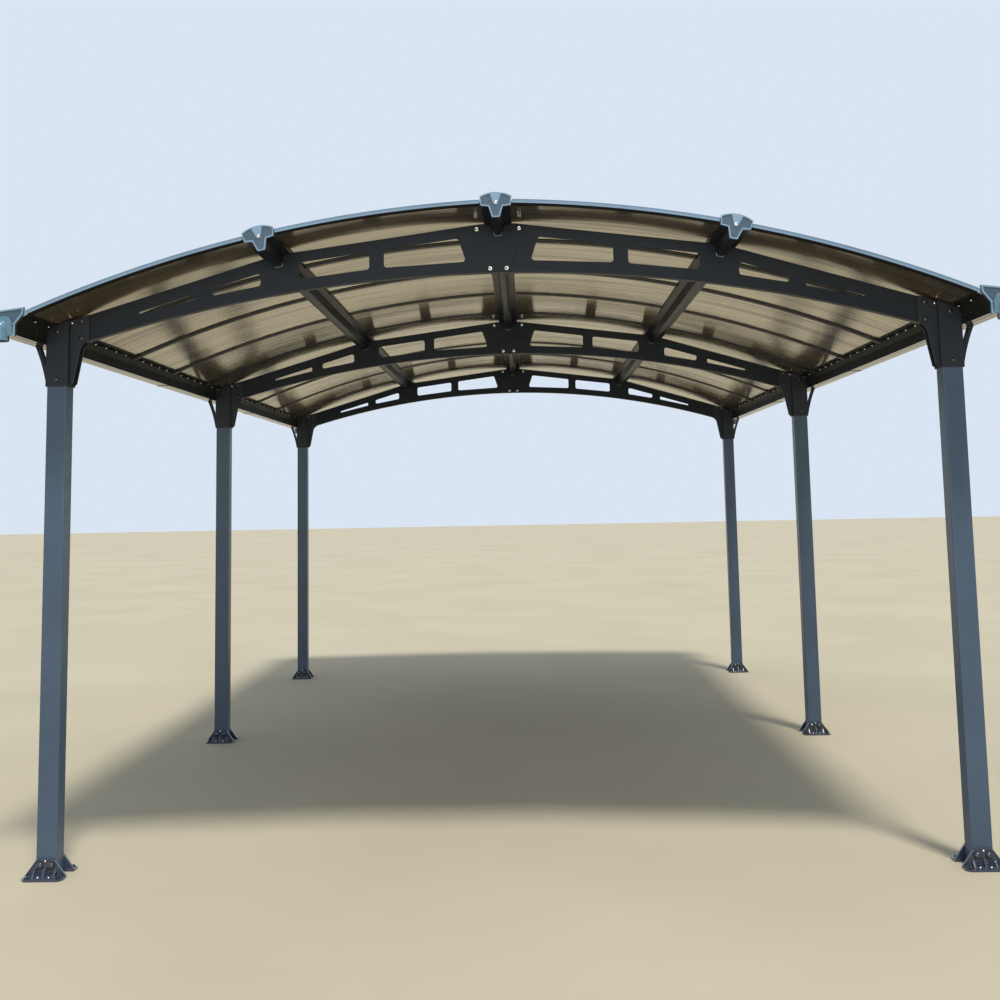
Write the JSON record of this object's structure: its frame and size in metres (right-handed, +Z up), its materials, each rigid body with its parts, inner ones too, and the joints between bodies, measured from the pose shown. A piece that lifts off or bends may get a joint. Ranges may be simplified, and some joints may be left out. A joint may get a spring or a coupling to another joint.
{
  "type": "arched carport",
  "caption": "Open arched carport on posts: slotted arch beams, purlins, gutters with outlets and curved translucent roof panels over one parking space.",
  "frame": {"origin": "middle of the footprint, on the ground", "axes": "+X across the drive to the right as seen from the front, +Y along the drive to the rear, +Z up"},
  "size_m": [3.614, 5.0694, 2.407],
  "materials": {
    "frame_anthracite": "satin anthracite powder coat",
    "shoe_anthracite": "glossy anthracite coat",
    "trim_grey_blue": "satin grey-blue coat",
    "roof_panel_bronze": "glossy bronze twin-wall sheet, translucent",
    "joint_strip": "dark satin profile"
  },
  "bodies": {
    "root": {"post_front_right": "frame_anthracite", "post_front_left": "frame_anthracite", "post_middle_right": "frame_anthracite", "post_middle_left": "frame_anthracite", "post_rear_right": "frame_anthracite", "post_rear_left": "frame_anthracite", "foot_front_right": "shoe_anthracite", "foot_front_left": "shoe_anthracite", "foot_middle_right": "shoe_anthracite", "foot_middle_left": "shoe_anthracite", "foot_rear_right": "shoe_anthracite", "foot_rear_left": "shoe_anthracite", "post_head_front_right": "frame_anthracite", "post_head_front_left": "frame_anthracite", "post_head_middle_right": "frame_anthracite", "post_head_middle_left": "frame_anthracite", "post_head_rear_right": "frame_anthracite", "post_head_rear_left": "frame_anthracite", "arch_front_right": "frame_anthracite", "arch_front_left": "frame_anthracite", "arch_middle_right": "frame_anthracite", "arch_middle_left": "frame_anthracite", "arch_rear_right": "frame_anthracite", "arch_rear_left": "frame_anthracite", "arch_joint_front": "frame_anthracite", "arch_joint_middle": "frame_anthracite", "arch_joint_rear": "frame_anthracite", "ridge_purlin": "frame_anthracite", "quarter_purlin_right": "frame_anthracite", "quarter_purlin_left": "frame_anthracite", "purlin_caps_front": "trim_grey_blue", "purlin_caps_rear": "trim_grey_blue", "gutter_right": "frame_anthracite", "gutter_left": "frame_anthracite", "gutter_ends_front": "trim_grey_blue", "gutter_ends_rear": "trim_grey_blue", "edge_trim_front": "trim_grey_blue", "edge_trim_rear": "trim_grey_blue", "roof_panels_inner_right": "roof_panel_bronze", "roof_panels_outer_right": "roof_panel_bronze", "roof_panels_inner_left": "roof_panel_bronze", "roof_panels_outer_left": "roof_panel_bronze", "joint_strips_right": "joint_strip", "joint_strips_left": "joint_strip"}
  },
  "joints": []
}
